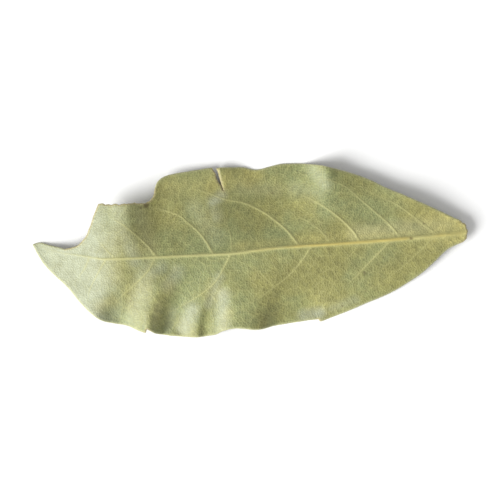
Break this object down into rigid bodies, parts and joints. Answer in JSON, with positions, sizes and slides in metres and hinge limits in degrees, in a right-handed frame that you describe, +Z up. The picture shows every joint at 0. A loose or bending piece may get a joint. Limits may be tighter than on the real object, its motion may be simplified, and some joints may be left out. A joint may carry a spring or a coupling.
{
  "type": "dried bay leaf",
  "caption": "Dried bay leaf lying underside up: a thin wavy oval blade with a raised midrib, a torn bay beside its tip, a short split and a snapped base.",
  "frame": {"origin": "on the surface that the leaf lies on, under the middle of its box", "axes": "+X along the leaf from its pointed tip to its snapped base, +Y across the leaf, +Z up, out of the pale underside that faces up"},
  "size_m": [0.09, 0.035, 0.0061],
  "materials": {
    "leaf": "dry satin leaf, pale grey-green underside with a straw-yellow midrib, darker olive upper side"
  },
  "bodies": {
    "root": {"bay_leaf": "leaf"}
  },
  "joints": []
}
